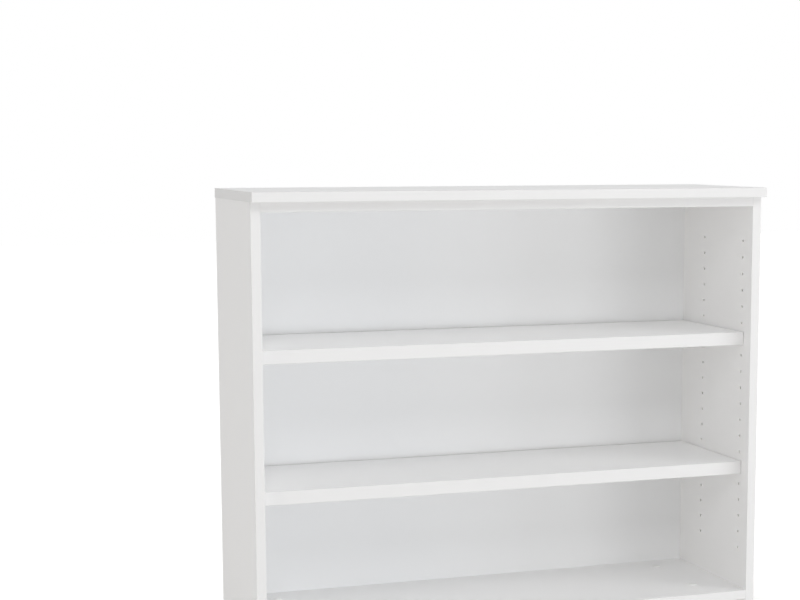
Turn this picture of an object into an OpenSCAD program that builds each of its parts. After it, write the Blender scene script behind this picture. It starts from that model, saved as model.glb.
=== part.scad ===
// Open bookcase with two sliding shelves on concealed wire supports.
// Millimetres. X runs across the front, -Y is the front, +Z is up.
// The origin is on the floor, in the middle of the overall width and depth.

/* [Carcass] */
// Width over the two side panels
body_w = 1000; // [800:1:1200]
// Depth of the side panels, front edge to rear edge
body_d = 300; // [290:1:380]
// Height from the floor to the upper face of the top
body_h = 900; // [860:1:1200]
// Thickness of the sides, top, bottom and plinth boards
board_t = 18; // [17:0.5:22]
// Thickness of the edging strips on the carcass and the top
edge_t = 1; // [0.8:0.1:2]
// Rounding of the outer corners of the carcass edging
edge_round = 0.8; // [0.2:0.1:0.8]

/* [Top] */
// How far the top stands out in front of the sides
top_front_overhang = 20; // [5:1:40]
// How far the top stands out beyond each side
top_side_overhang = 1; // [1:0.5:12]

/* [Shelves] */
// Thickness of each shelf
shelf_t = 25; // [22:0.5:32]
// Distance from the front of the sides back to the front of a shelf
shelf_setback = 28; // [22:0.5:29]
// How far the middle of a shelf's thickness lies above its hole row
shelf_rise = 2; // [0:0.5:3]
// Gap between each end of a shelf and the side panel
shelf_gap = 1; // [0.5:0.1:2]
// Gap between the rear edge of a shelf and the back panel
shelf_back_gap = 4; // [2:0.5:10]
// Thickness of the edging on the front of a shelf
shelf_edge_t = 2; // [1:0.1:2]
// Rounding of the front corners of a shelf
shelf_edge_round = 1; // [0.3:0.1:1]
// Hole row that carries the upper shelf, counted down from 0
upper_row = 6; // [4:1:8]
// Hole row that carries the lower shelf, counted down from 0
lower_row = 14; // [11:1:15]

/* [Shelf holes] */
// Diameter of the shelf holes
hole_d = 5; // [4.5:0.1:6]
// Depth of the shelf holes
hole_depth = 12; // [10:0.5:13]
// Vertical pitch of the shelf holes
hole_pitch = 32; // [28:1:36]
// Front column, measured from the front of the sides
hole_front = 37; // [35.5:0.5:45]
// Distance from the front column to the rear column
column_gap = 165; // [130:1:180]
// First row, measured down from the upper face of the top
first_row_drop = 104.5; // [90:0.5:130]
// Least distance from the lowest row to the bottom panel
last_row_clear = 70; // [50:1:90]

/* [Wire supports] */
// How far the wire stands out of the side panel
wire_reach = 8; // [7:0.1:10]
// Clearance between the wire and the wall of its hole
wire_fit = 0.1; // [0.05:0.01:0.15]
// Clearance between the wire and the groove in the shelf
groove_gap = 0.3; // [0.2:0.05:0.5]
// Space left between the wire and the floor of the groove
groove_end_gap = 1; // [0.5:0.1:2]

/* [Back panel] */
// Thickness of the back panel
back_t = 3; // [2.5:0.5:5]
// Width of the rebate that takes the back panel in each side
rebate_w = 9; // [8:0.5:10]
// Clearance round the edges of the back panel
back_gap = 0.5; // [0.3:0.1:1]

/* [Plinth] */
// Height of the underside of the bottom panel above the floor
plinth_h = 90; // [82:1:120]
// Distance from the front of the sides back to the kickboard
kick_setback = 30; // [20:1:32]
// Gap between the floor and the lower edges of the boards
floor_gap = 3; // [2:0.5:6]
// Distance of a plinth dowel from the upper or lower edge of its board
plinth_dowel_inset = 22; // [18:1:26]

/* [Levelling feet] */
// Foot axis, measured in from the outer face of a side
foot_inset_x = 96; // [94:1:140]
// Gap between a foot's flange and the plinth board beside it
foot_clear_y = 6; // [3:1:20]
// Diameter of the threaded spindle
spindle_d = 10; // [8:0.5:12]
// Running clearance between the spindle and its housing
spindle_fit = 0.1; // [0.05:0.01:0.15]
// Diameter of the swivel pad
pad_d = 38; // [34:1:44]
// Height of the swivel pad
pad_h = 12; // [11:0.5:14]
// Diameter of the ball at the lower end of the spindle
ball_d = 9; // [8:0.5:9.5]
// How far a foot can be screwed out
foot_travel = 15; // [8:1:20]
// Length of spindle that stays in the housing when the foot is screwed out
thread_grip = 42; // [30:1:46]
// Width of the housing flange, across the bookcase
flange_w = 64; // [56:1:64]
// Depth of the housing flange, front to back
flange_d = 50; // [46:1:56]
// Thickness of the housing flange
flange_t = 4; // [3:0.5:6]
// Outer diameter of the housing tube
tube_d = 24; // [20:0.5:28]
// Gap between the pad and the lower end of the tube
tube_gap = 16; // [8:1:20]
// Height at which the ribs start above the lower end of the tube
rib_start = 6; // [2:1:12]
// Thickness of the ribs that stiffen the tube
rib_t = 3; // [2:0.5:4]
// Width across the flats of the key socket in the spindle
key_af = 5; // [4:0.5:5]
// Depth of the key socket in the spindle
key_depth = 7; // [4:0.5:10]
// Diameter of the access hole over each foot
access_d = 12; // [11:0.5:14]
// Diameter of the cap that closes an access hole
cap_d = 17; // [16:0.5:20]
// Thickness of the rim of that cap
cap_t = 1.2; // [1:0.1:2]
// Depth of the cap's plug in the access hole
cap_plug = 7; // [5:0.5:10]

/* [Fittings] */
// Diameter of the cam housings
cam_d = 15; // [12:0.5:15]
// Height of the cam housings
cam_h = 12; // [11.5:0.1:12.5]
// Cam axis, measured in from the end of its board
cam_inset = 34; // [30:0.5:34]
// Cam axis, measured in from the front and rear edges
cam_edge = 60; // [58:1:75]
// Diameter of the cam bolt's shank
cam_bolt_d = 6; // [5:0.1:6.5]
// Diameter of the wooden dowels
dowel_d = 8; // [6:0.5:8]
// Length of a dowel inside the side panel
dowel_side = 11; // [9:0.5:12]
// Length of a dowel inside the board that it locates
dowel_board = 19; // [15:0.5:24]
// Distance from a cam to the dowel beside it
dowel_offset = 32; // [24:1:40]
// Clearance between a fitting and the wall of its hole
fitting_gap = 0.1; // [0.05:0.01:0.15]
// Space left in a hole beyond the end of its screw, bolt or dowel
tip_gap = 1; // [0.5:0.1:1.5]

/* [Screws] */
// Diameter of the screws that hold the top
top_screw_d = 4; // [3.5:0.1:5]
// Length of those screws above the sub-top
top_screw_bite = 11; // [8:0.5:13]
// Distance of the outer screws from the outer faces of the sides
top_screw_inset_x = 100; // [80:1:150]
// Distance of those screws from the front and rear edges
top_screw_inset_y = 50; // [30:1:52]
// Diameter of the screws that hold the back panel
back_screw_d = 3; // [2.5:0.1:3.5]
// Length of those screws beyond the back panel
back_screw_bite = 13; // [10:0.5:16]
// Longest spacing between back panel screws
back_screw_pitch = 240; // [160:5:320]
// Distance of the end screws of a row from the side panels
back_screw_inset = 30; // [20:1:50]
// Diameter of the screws that hold the foot housings
foot_screw_d = 4; // [3.5:0.1:4.5]
// Length of those screws inside the bottom panel
foot_screw_bite = 12; // [9:0.5:14]
// Distance of those screws from the edges of the flange
foot_screw_inset = 8; // [7:0.5:9]

/* [Hidden] */

// Number of facets on round fittings
round_fn = 48;
// Overlap that keeps a cut clear of the face it breaks through
cut = 1;

// Colours as the photograph shows them
white_board = [0.93, 0.93, 0.925];
white_edge = [0.95, 0.95, 0.945];
white_back = [0.90, 0.905, 0.91];
zinc = [0.72, 0.72, 0.73];
beech = [0.80, 0.65, 0.45];
black_plastic = [0.12, 0.12, 0.12];
white_plastic = [0.92, 0.92, 0.91];

// Main planes, worked out from the driving sizes
total_d = body_d + top_front_overhang;
front_y = -total_d / 2 + top_front_overhang;
rear_y = total_d / 2;
side_x = body_w / 2;
inner_x = side_x - board_t;
top_z = body_h - board_t;
sub_top_z = top_z - board_t;
bottom_z = plinth_h;
back_face_y = rear_y - back_t;
board_front_y = front_y + edge_t;
board_depth = back_face_y - board_front_y;
mid = board_t / 2;

// Shelf holes and shelves
first_row_z = body_h - first_row_drop;
row_space = first_row_z - (bottom_z + board_t) - last_row_clear;
row_count = floor(row_space / hole_pitch) + 1;
hole_ys = [front_y + hole_front, front_y + hole_front + column_gap];
upper_z = first_row_z - upper_row * hole_pitch;
lower_z = first_row_z - lower_row * hole_pitch;
shelf_front_y = front_y + shelf_setback;
shelf_rear_y = back_face_y - shelf_back_gap;
shelf_half_w = inner_x - shelf_gap;
shelf_low = shelf_rise - shelf_t / 2;

// Wire supports
wire_d = hole_d - 2 * wire_fit;
wire_leg = hole_depth - tip_gap;
wire_bend = wire_reach - wire_d / 2;
groove_h = wire_d + 2 * groove_gap;
groove_depth = wire_reach - shelf_gap + groove_end_gap;

// Cams, bolts and dowels: rows from front to back, levels from bottom to top
cam_ys = [front_y + cam_edge, rear_y - cam_edge];
dowel_ys = [cam_ys[0] + dowel_offset, cam_ys[1] - dowel_offset];
joint_zs = [bottom_z + mid, sub_top_z + mid];
bolt_bore_gap = 1;
bolt_socket_gap = 0.5;
cam_bore_d = cam_bolt_d + 2 * bolt_bore_gap;
cam_socket_d = cam_bolt_d + 2 * bolt_socket_gap;
cam_sink = 0.5;
key_slot = [8, 1.2, 1.4];
bolt_thread_d = 5;
bolt_thread_len = 10;
bolt_chamfer = 0.6;
bolt_neck_depth = 1.1;
bolt_neck = [1.6, 5];
bolt_collar = 1.5;
bolt_collar_rim = 0.8;
dowel_chamfer = 1;

// Plinth
kick_y = front_y + kick_setback;
rail_y = back_face_y - board_t;
plinth_dowel_zs = [floor_gap + plinth_dowel_inset, bottom_z - plinth_dowel_inset];
plinth_board_ys = [kick_y + mid, rail_y + mid];

// Levelling feet
foot_x = side_x - foot_inset_x;
foot_front_y = kick_y + board_t + foot_clear_y + flange_d / 2;
foot_rear_y = rail_y - foot_clear_y - flange_d / 2;
tube_low_z = pad_h + tube_gap;
spindle_top_z = tube_low_z + thread_grip + foot_travel;
rib_top_z = bottom_z - flange_t;
rib_root = 1;
rib_lip = 2;
ball_z = pad_h / 2;
ball_fit = 0.3;
neck_d = 0.7 * ball_d;
neck_low_z = ball_z + ball_d / 3;
shank_gap = 1.5;
shank_low_z = pad_h + shank_gap;
spindle_chamfer = 1;
pad_edge = 1;
pad_rim_slope = [1.5, 1.2];
pad_boss_wall = 2.6;
foot_screw_dx = flange_w / 2 - foot_screw_inset;
foot_screw_dy = flange_d / 2 - foot_screw_inset;
foot_head_h = 2.4;
cap_wall = 1.6;
cap_lead = 0.6;

// Screw places
top_screw_xs = [-side_x + top_screw_inset_x, 0, side_x - top_screw_inset_x];
top_screw_ys = [front_y + top_screw_inset_y, rear_y - top_screw_inset_y];
back_low_z = bottom_z + back_gap;
back_high_z = top_z - back_gap;
back_half_w = side_x - (board_t - rebate_w) - back_gap;
back_side_x = inner_x + rebate_w / 2;
back_head_d = 2 * back_screw_d;
back_row_n = ceil(2 * inner_x / back_screw_pitch);
back_row_step = 2 * (inner_x - back_screw_inset) / back_row_n;
back_col_n = ceil((sub_top_z - bottom_z) / back_screw_pitch);
back_col_step = (sub_top_z - bottom_z) / back_col_n;

// A board given by its low corner and its size
module board(low, size) {
    translate(low) cube(size);
}

// Round bar or hole along X, starting at x and running towards +X
module bar_x(x, y, z, d, len) {
    translate([x, y, z]) rotate([0, 90, 0]) cylinder(d = d, h = len, $fn = round_fn);
}

// Round bar or hole along Z, starting at z and running up
module bar_z(x, y, z, d, len) {
    translate([x, y, z]) cylinder(d = d, h = len, $fn = round_fn);
}

// Section of an edging strip: the outer face looks along -X, v runs along the board's thickness
module edge_section(thick, height, rounding) {
    translate([-thick + rounding, 0]) square([thick - rounding, height]);
    translate([-thick, rounding]) square([thick, height - 2 * rounding]);
    intersection() {
        translate([-thick, 0]) square([thick, height]);
        for (v = [rounding, height - rounding])
            translate([-thick + rounding, v]) circle(r = rounding, $fn = 32);
    }
}

// Strip along X on a front edge whose board starts at y, between z and z + height
module strip_x(half_w, y, z, thick, height, rounding) {
    translate([-half_w, y, z]) rotate([90, 0, 90])
        linear_extrude(2 * half_w) edge_section(thick, height, rounding);
}

// Countersunk screw pointing up, its head's face at z = 0
module countersunk_screw(d, len, head_d) {
    sink = (head_d - d) / 2;
    rotate_extrude($fn = round_fn)
        polygon([[0, 0], [head_d / 2, 0], [d / 2, sink], [d / 2, len - d / 2], [0, len]]);
}

// Hole for such a screw, with its countersink
module countersunk_hole(d, len, head_d, gap) {
    sink = (head_d - d) / 2;
    rotate_extrude($fn = round_fn)
        polygon([[0, -cut], [head_d / 2 + gap, -cut], [head_d / 2 + gap, 0],
                 [d / 2 + gap, sink], [d / 2 + gap, len], [0, len]]);
}

// Side panels
module side_holes() {
    for (y = hole_ys, row = [0:row_count - 1])
        bar_x(inner_x - cut, y, first_row_z - row * hole_pitch, hole_d, hole_depth + cut);
    for (z = joint_zs) {
        for (y = cam_ys)
            bar_x(inner_x - cut, y, z, bolt_thread_d + 2 * fitting_gap, cut + bolt_thread_len + tip_gap);
        for (y = dowel_ys)
            bar_x(inner_x - cut, y, z, dowel_d + 2 * fitting_gap, cut + dowel_side + tip_gap);
    }
    for (y = plinth_board_ys, z = plinth_dowel_zs)
        bar_x(inner_x - cut, y, z, dowel_d + 2 * fitting_gap, cut + dowel_side + tip_gap);
}

module back_screw_places() {
    for (i = [0:back_row_n], z = joint_zs)
        translate([-inner_x + back_screw_inset + i * back_row_step, rear_y, z]) children();
    for (i = [1:back_col_n - 1], s = [-1, 1])
        translate([s * back_side_x, rear_y, bottom_z + mid + i * back_col_step]) children();
}

module back_screw_holes() {
    back_screw_places() rotate([90, 0, 0])
        countersunk_hole(back_screw_d, back_t + back_screw_bite + tip_gap, back_head_d, fitting_gap);
}

module side_right() {
    color(white_board) difference() {
        board([inner_x, board_front_y, floor_gap],
              [board_t, rear_y - board_front_y, top_z - floor_gap]);
        board([inner_x - cut, back_face_y, floor_gap - cut],
              [rebate_w + cut, back_t + cut, top_z - floor_gap + 2 * cut]);
        side_holes();
        back_screw_holes();
    }
}

module side_left() {
    mirror([1, 0, 0]) side_right();
}

module side_right_edging() {
    color(white_edge) translate([side_x, board_front_y, floor_gap]) rotate([0, 0, 90])
        linear_extrude(top_z - floor_gap) edge_section(edge_t, board_t, edge_round);
}

module side_left_edging() {
    mirror([1, 0, 0]) side_right_edging();
}

// Top, laid over the carcass and screwed up through the sub-top
module top_screw_places() {
    for (x = top_screw_xs, y = top_screw_ys)
        translate([x, y, sub_top_z]) children();
}

module top_screw_holes() {
    top_screw_places()
        countersunk_hole(top_screw_d, board_t + top_screw_bite + tip_gap, 2 * top_screw_d, fitting_gap);
}

module top_panel() {
    half_w = side_x + top_side_overhang - edge_t;
    color(white_board) difference() {
        board([-half_w, front_y - top_front_overhang + edge_t, top_z],
              [2 * half_w, total_d - edge_t, board_t]);
        top_screw_holes();
    }
}

module top_edging() {
    half_w = side_x + top_side_overhang;
    low_y = front_y - top_front_overhang + edge_t;
    color(white_edge) {
        strip_x(half_w, low_y, top_z, edge_t, board_t, edge_round);
        for (s = [0, 1]) mirror([s, 0, 0])
            translate([-half_w + edge_t, rear_y, top_z]) rotate([90, 0, 0])
                linear_extrude(total_d - edge_t) edge_section(edge_t, board_t, edge_round);
    }
}

// Boards between the sides, with their bores for bolts and dowels
module dowel_bore(y, z) {
    bar_x(inner_x - dowel_board - tip_gap, y, z, dowel_d + 2 * fitting_gap, tip_gap + dowel_board + cut);
}

module end_bores(z) {
    for (s = [0, 1]) mirror([s, 0, 0]) {
        for (y = cam_ys)
            bar_x(inner_x - cam_inset, y, z, cam_bore_d, cam_inset + cut);
        for (y = dowel_ys)
            dowel_bore(y, z);
    }
}

module cam_places(z) {
    for (s = [0, 1], y = cam_ys) mirror([s, 0, 0])
        translate([inner_x - cam_inset, y, z]) children();
}

module sub_top() {
    color(white_board) difference() {
        board([-inner_x, board_front_y, sub_top_z], [2 * inner_x, board_depth, board_t]);
        end_bores(sub_top_z + mid);
        cam_places(top_z - cam_h - cam_sink)
            cylinder(d = cam_d + 2 * fitting_gap, h = cam_h + cam_sink + cut, $fn = round_fn);
        top_screw_holes();
        back_screw_holes();
    }
}

module sub_top_edging() {
    color(white_edge) strip_x(inner_x, board_front_y, sub_top_z, edge_t, board_t, edge_round);
}

module bottom_panel() {
    color(white_board) difference() {
        board([-inner_x, board_front_y, bottom_z], [2 * inner_x, board_depth, board_t]);
        end_bores(bottom_z + mid);
        cam_places(bottom_z - cut)
            cylinder(d = cam_d + 2 * fitting_gap, h = cam_h + cam_sink + cut, $fn = round_fn);
        foot_places() {
            bar_z(0, 0, bottom_z - cut, access_d, board_t + 2 * cut);
            foot_screw_places()
                bar_z(0, 0, bottom_z - cut, foot_screw_d + 2 * fitting_gap,
                      cut + foot_screw_bite + tip_gap);
        }
        back_screw_holes();
    }
}

module bottom_edging() {
    color(white_edge) strip_x(inner_x, board_front_y, bottom_z, edge_t, board_t, edge_round);
}

// Back panel in its rebates
module back_panel() {
    color(white_back) difference() {
        board([-back_half_w, back_face_y, back_low_z],
              [2 * back_half_w, back_t, back_high_z - back_low_z]);
        back_screw_holes();
    }
}

module back_screws() {
    color(zinc) back_screw_places() rotate([90, 0, 0])
        countersunk_screw(back_screw_d, back_t + back_screw_bite, back_head_d);
}

// Plinth boards
module plinth_board(y) {
    color(white_board) difference() {
        board([-inner_x, y, floor_gap], [2 * inner_x, board_t, bottom_z - floor_gap]);
        for (s = [0, 1], z = plinth_dowel_zs) mirror([s, 0, 0]) dowel_bore(y + mid, z);
    }
}

module kickboard() {
    plinth_board(kick_y);
}

module rear_rail() {
    plinth_board(rail_y);
}

// Shelf on the hole row at z: a stopped groove in each end slides over the wire from the front
module shelf(z) {
    board_y = shelf_front_y + shelf_edge_t;
    color(white_board) difference() {
        board([-shelf_half_w, board_y, z + shelf_low],
              [2 * shelf_half_w, shelf_rear_y - board_y, shelf_t]);
        for (s = [0, 1]) mirror([s, 0, 0]) {
            board([shelf_half_w - groove_depth, hole_ys[0], z - groove_h / 2],
                  [groove_depth + cut, shelf_rear_y - hole_ys[0] + cut, groove_h]);
            bar_x(shelf_half_w - groove_depth, hole_ys[0], z, groove_h, groove_depth + cut);
        }
    }
}

module shelf_edging(z) {
    color(white_edge)
        strip_x(shelf_half_w, shelf_front_y + shelf_edge_t, z + shelf_low, shelf_edge_t,
                shelf_t, shelf_edge_round);
}

module shelf_upper() {
    shelf(upper_z);
}

module shelf_upper_edging() {
    shelf_edging(upper_z);
}

module shelf_lower() {
    shelf(lower_z);
}

module shelf_lower_edging() {
    shelf_edging(lower_z);
}

// One wire support: two legs in the side panel, joined by bends and a straight run
module wire_support(z) {
    for (y = hole_ys)
        bar_x(inner_x, y, z, wire_d, wire_leg);
    translate([inner_x, hole_ys[0] + wire_bend, z]) rotate([0, 0, 180])
        rotate_extrude(angle = 90, $fn = round_fn)
            translate([wire_bend, 0]) circle(d = wire_d, $fn = round_fn);
    translate([inner_x, hole_ys[1] - wire_bend, z]) rotate([0, 0, 90])
        rotate_extrude(angle = 90, $fn = round_fn)
            translate([wire_bend, 0]) circle(d = wire_d, $fn = round_fn);
    translate([inner_x - wire_bend, hole_ys[0] + wire_bend, z]) rotate([-90, 0, 0])
        cylinder(d = wire_d, h = column_gap - 2 * wire_bend, $fn = round_fn);
}

module wire_pair(z) {
    color(zinc) for (s = [0, 1]) mirror([s, 0, 0]) wire_support(z);
}

module shelf_upper_wires() {
    wire_pair(upper_z);
}

module shelf_lower_wires() {
    wire_pair(lower_z);
}

// Cam in the upper face of the sub-top or the underside of the bottom panel, its key face at z = 0
module cam_housing() {
    difference() {
        cylinder(d = cam_d, h = cam_h, $fn = round_fn);
        bar_x(-cam_socket_d / 2, 0, mid - cam_sink, cam_socket_d, cam_d);
        for (a = [0, 90]) rotate([0, 0, a])
            translate([-key_slot[0] / 2, -key_slot[1] / 2, -cut])
                cube([key_slot[0], key_slot[1], key_slot[2] + cut]);
    }
}

module cam_housings() {
    color(zinc) {
        cam_places(bottom_z + cam_sink) cam_housing();
        cam_places(top_z - cam_sink) mirror([0, 0, 1]) cam_housing();
    }
}

// Cam bolt along +X from the centre of its cam: head, neck, shank, collar and thread
module cam_bolt() {
    r = cam_bolt_d / 2;
    neck_r = r - bolt_neck_depth;
    thread_r = bolt_thread_d / 2;
    tip = cam_inset + bolt_thread_len;
    rotate([0, 90, 0]) rotate_extrude($fn = round_fn)
        polygon([[0, bolt_chamfer - r], [r - bolt_chamfer, bolt_chamfer - r], [r, 2 * bolt_chamfer - r],
                 [r, bolt_neck[0] - bolt_neck_depth], [neck_r, bolt_neck[0]],
                 [neck_r, bolt_neck[1]], [r, bolt_neck[1] + bolt_neck_depth],
                 [r, cam_inset - bolt_collar], [r + bolt_collar_rim, cam_inset - bolt_collar],
                 [r + bolt_collar_rim, cam_inset], [thread_r, cam_inset],
                 [thread_r, tip - thread_r / 2], [thread_r / 2, tip], [0, tip]]);
}

module cam_bolts() {
    color(zinc) for (z = joint_zs) cam_places(z) cam_bolt();
}

// Dowel along X with chamfered ends, centred on the joint face
module dowel() {
    r = dowel_d / 2;
    len = dowel_board + dowel_side;
    translate([-dowel_board, 0, 0]) rotate([0, 90, 0]) rotate_extrude($fn = round_fn)
        polygon([[0, 0], [r - dowel_chamfer, 0], [r, dowel_chamfer],
                 [r, len - dowel_chamfer], [r - dowel_chamfer, len], [0, len]]);
}

module carcass_dowels() {
    color(beech) for (s = [0, 1], y = dowel_ys, z = joint_zs) mirror([s, 0, 0])
        translate([inner_x, y, z]) dowel();
}

module plinth_dowels() {
    color(beech) for (s = [0, 1], y = plinth_board_ys, z = plinth_dowel_zs) mirror([s, 0, 0])
        translate([inner_x, y, z]) dowel();
}

module top_screws() {
    color(zinc) top_screw_places()
        countersunk_screw(top_screw_d, board_t + top_screw_bite, 2 * top_screw_d);
}

// Levelling feet
module foot_places() {
    for (x = [-foot_x, foot_x], y = [foot_front_y, foot_rear_y]) translate([x, y, 0]) children();
}

module foot_screw_places() {
    for (dx = [-foot_screw_dx, foot_screw_dx], dy = [-foot_screw_dy, foot_screw_dy])
        translate([dx, dy, 0]) children();
}

// Housing: flange under the bottom panel, threaded tube and four ribs
module foot_housing() {
    difference() {
        union() {
            translate([-flange_w / 2, -flange_d / 2, rib_top_z]) cube([flange_w, flange_d, flange_t]);
            bar_z(0, 0, tube_low_z, tube_d, bottom_z - tube_low_z);
            for (a = [0, 180]) rotate([0, 0, a]) foot_rib(flange_w / 2);
            for (a = [90, 270]) rotate([0, 0, a]) foot_rib(flange_d / 2);
        }
        bar_z(0, 0, tube_low_z - cut, spindle_d + 2 * spindle_fit, bottom_z - tube_low_z + 2 * cut);
        foot_screw_places()
            bar_z(0, 0, rib_top_z - cut, foot_screw_d + 2 * fitting_gap, flange_t + 2 * cut);
    }
}

// Triangular rib from the tube out to the edge of the flange, along +X
module foot_rib(reach) {
    in_x = tube_d / 2 - rib_root;
    low_x = tube_d / 2 + rib_root;
    out_x = reach - rib_lip;
    low_z = tube_low_z + rib_start;
    translate([0, rib_t / 2, 0]) rotate([90, 0, 0]) linear_extrude(rib_t)
        polygon([[in_x, low_z], [low_x, low_z], [out_x, rib_top_z - rib_lip],
                 [out_x, rib_top_z + rib_root], [in_x, rib_top_z + rib_root]]);
}

module foot_housings() {
    color(black_plastic) foot_places() foot_housing();
}

// Pan head screws with a tapered point
module foot_screws() {
    r = foot_screw_d / 2;
    head_r = foot_screw_d;
    flat_r = 0.7 * head_r;
    tip = foot_head_h + flange_t + foot_screw_bite;
    color(zinc) foot_places() foot_screw_places() translate([0, 0, rib_top_z - foot_head_h])
        rotate_extrude($fn = round_fn)
            polygon([[0, 0], [flat_r, 0], [head_r, foot_head_h / 2], [head_r, foot_head_h],
                     [r, foot_head_h], [r, tip - r], [0, tip]]);
}

// Spindle: ball, neck, threaded length and key socket
module foot_spindle(x, y) {
    r = spindle_d / 2;
    end_r = r - spindle_chamfer;
    color(zinc) translate([x, y, 0]) difference() {
        union() {
            translate([0, 0, ball_z]) sphere(d = ball_d, $fn = round_fn);
            bar_z(0, 0, neck_low_z, neck_d, shank_low_z + spindle_chamfer / 2 - neck_low_z);
            rotate_extrude($fn = round_fn)
                polygon([[0, shank_low_z], [end_r, shank_low_z], [r, shank_low_z + spindle_chamfer],
                         [r, spindle_top_z - spindle_chamfer], [end_r, spindle_top_z],
                         [0, spindle_top_z]]);
        }
        translate([0, 0, spindle_top_z - key_depth])
            cylinder(d = key_af / cos(30), h = key_depth + cut, $fn = 6);
    }
}

// Swivel pad: a moulded foot with a ball socket that is open at the top
module foot_pad(x, y) {
    r = pad_d / 2;
    socket_r = ball_d / 2 + ball_fit;
    mouth_r = (neck_d + ball_d) / 4;
    boss_r = socket_r + pad_boss_wall;
    rim_z = pad_h / 4;
    color(black_plastic) translate([x, y, 0]) difference() {
        rotate_extrude($fn = 2 * round_fn)
            polygon([[0, 0], [r - pad_edge, 0], [r, pad_edge], [r, rim_z],
                     [r - pad_rim_slope[0], rim_z + pad_rim_slope[1]],
                     [boss_r + pad_edge, pad_h / 2], [boss_r, pad_h - pad_edge],
                     [boss_r - pad_edge, pad_h], [0, pad_h]]);
        translate([0, 0, ball_z]) sphere(r = socket_r, $fn = round_fn);
        translate([0, 0, ball_z]) cylinder(r = mouth_r, h = pad_h, $fn = round_fn);
    }
}

module foot_spindle_front_left() { foot_spindle(-foot_x, foot_front_y); }
module foot_spindle_front_right() { foot_spindle(foot_x, foot_front_y); }
module foot_spindle_rear_left() { foot_spindle(-foot_x, foot_rear_y); }
module foot_spindle_rear_right() { foot_spindle(foot_x, foot_rear_y); }
module foot_pad_front_left() { foot_pad(-foot_x, foot_front_y); }
module foot_pad_front_right() { foot_pad(foot_x, foot_front_y); }
module foot_pad_rear_left() { foot_pad(-foot_x, foot_rear_y); }
module foot_pad_rear_right() { foot_pad(foot_x, foot_rear_y); }

// Push-in caps over the access holes in the bottom panel
module access_caps() {
    r = access_d / 2 - fitting_gap;
    in_r = r - cap_wall;
    color(white_plastic) foot_places() translate([0, 0, bottom_z + board_t])
        rotate_extrude($fn = round_fn)
            polygon([[0, 0], [in_r, 0], [in_r, -cap_plug], [r - cap_lead, -cap_plug],
                     [r, -cap_plug + cap_lead], [r, 0], [cap_d / 2, 0],
                     [cap_d / 2 - cap_t / 2, cap_t], [0, cap_t]]);
}

side_left();
side_right();
side_left_edging();
side_right_edging();
top_panel();
top_edging();
sub_top();
sub_top_edging();
bottom_panel();
bottom_edging();
back_panel();
kickboard();
rear_rail();
shelf_upper();
shelf_upper_edging();
shelf_lower();
shelf_lower_edging();
shelf_upper_wires();
shelf_lower_wires();
cam_housings();
cam_bolts();
carcass_dowels();
plinth_dowels();
top_screws();
back_screws();
foot_housings();
foot_screws();
access_caps();
foot_spindle_front_left();
foot_spindle_front_right();
foot_spindle_rear_left();
foot_spindle_rear_right();
foot_pad_front_left();
foot_pad_front_right();
foot_pad_rear_left();
foot_pad_rear_right();
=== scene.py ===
import math

import bmesh
import bpy
from mathutils import Matrix, Vector


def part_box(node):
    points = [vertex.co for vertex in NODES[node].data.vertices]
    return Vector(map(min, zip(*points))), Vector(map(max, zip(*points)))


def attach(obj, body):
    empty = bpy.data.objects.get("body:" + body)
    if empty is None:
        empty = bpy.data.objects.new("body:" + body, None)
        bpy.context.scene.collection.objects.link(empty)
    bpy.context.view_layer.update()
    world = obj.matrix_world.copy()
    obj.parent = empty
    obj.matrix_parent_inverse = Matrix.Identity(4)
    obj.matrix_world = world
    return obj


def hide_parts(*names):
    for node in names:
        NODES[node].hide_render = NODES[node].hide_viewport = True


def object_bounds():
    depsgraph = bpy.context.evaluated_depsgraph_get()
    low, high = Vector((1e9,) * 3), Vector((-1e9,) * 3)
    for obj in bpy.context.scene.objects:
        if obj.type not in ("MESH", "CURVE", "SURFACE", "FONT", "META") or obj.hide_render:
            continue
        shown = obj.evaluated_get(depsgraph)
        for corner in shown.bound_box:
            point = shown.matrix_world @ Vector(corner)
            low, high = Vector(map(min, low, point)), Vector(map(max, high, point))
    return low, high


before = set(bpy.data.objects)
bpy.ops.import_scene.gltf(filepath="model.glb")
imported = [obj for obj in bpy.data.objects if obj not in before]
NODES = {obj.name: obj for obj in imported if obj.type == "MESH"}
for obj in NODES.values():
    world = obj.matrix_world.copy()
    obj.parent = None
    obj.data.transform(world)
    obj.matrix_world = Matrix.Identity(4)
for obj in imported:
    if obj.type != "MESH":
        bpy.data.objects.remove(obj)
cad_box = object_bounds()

# Looks of the open bookcase: melamine boards, edging, lacquered back, threaded and turned fittings.
# Lengths are in metres, with X to the right, -Y to the front and Z up.

MM = 0.001
SCENE = bpy.context.scene
FEET = ["front_left", "front_right", "rear_left", "rear_right"]


# Colours, nodes and materials

def hex_colour(text):
    """An sRGB hex value as the linear colour that a shader takes."""
    channels = [int(text[i:i + 2], 16) / 255 for i in (1, 3, 5)]
    linear = [c / 12.92 if c <= 0.04045 else ((c + 0.055) / 1.055) ** 2.4 for c in channels]
    return (*linear, 1.0)


def add(tree, kind, inputs=None, **settings):
    """Adds a node: settings are its options, inputs are values, sockets or nodes, by name or number."""
    made = tree.nodes.new(kind)
    for name, value in settings.items():
        setattr(made, name, value)
    for key, value in (inputs or {}).items():
        if isinstance(value, bpy.types.Node):
            value = value.outputs[0]
        if isinstance(value, bpy.types.NodeSocket):
            tree.links.new(value, made.inputs[key])
        else:
            made.inputs[key].default_value = value
    return made


def material(name, build):
    """A material whose surface is the shader that build makes in its node tree."""
    made = bpy.data.materials.new(name)
    made.use_nodes = True
    tree = made.node_tree
    tree.nodes.clear()
    point = add(tree, "ShaderNodeTexCoord").outputs["Object"]
    add(tree, "ShaderNodeOutputMaterial", {"Surface": build(tree, point)})
    return made


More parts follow.
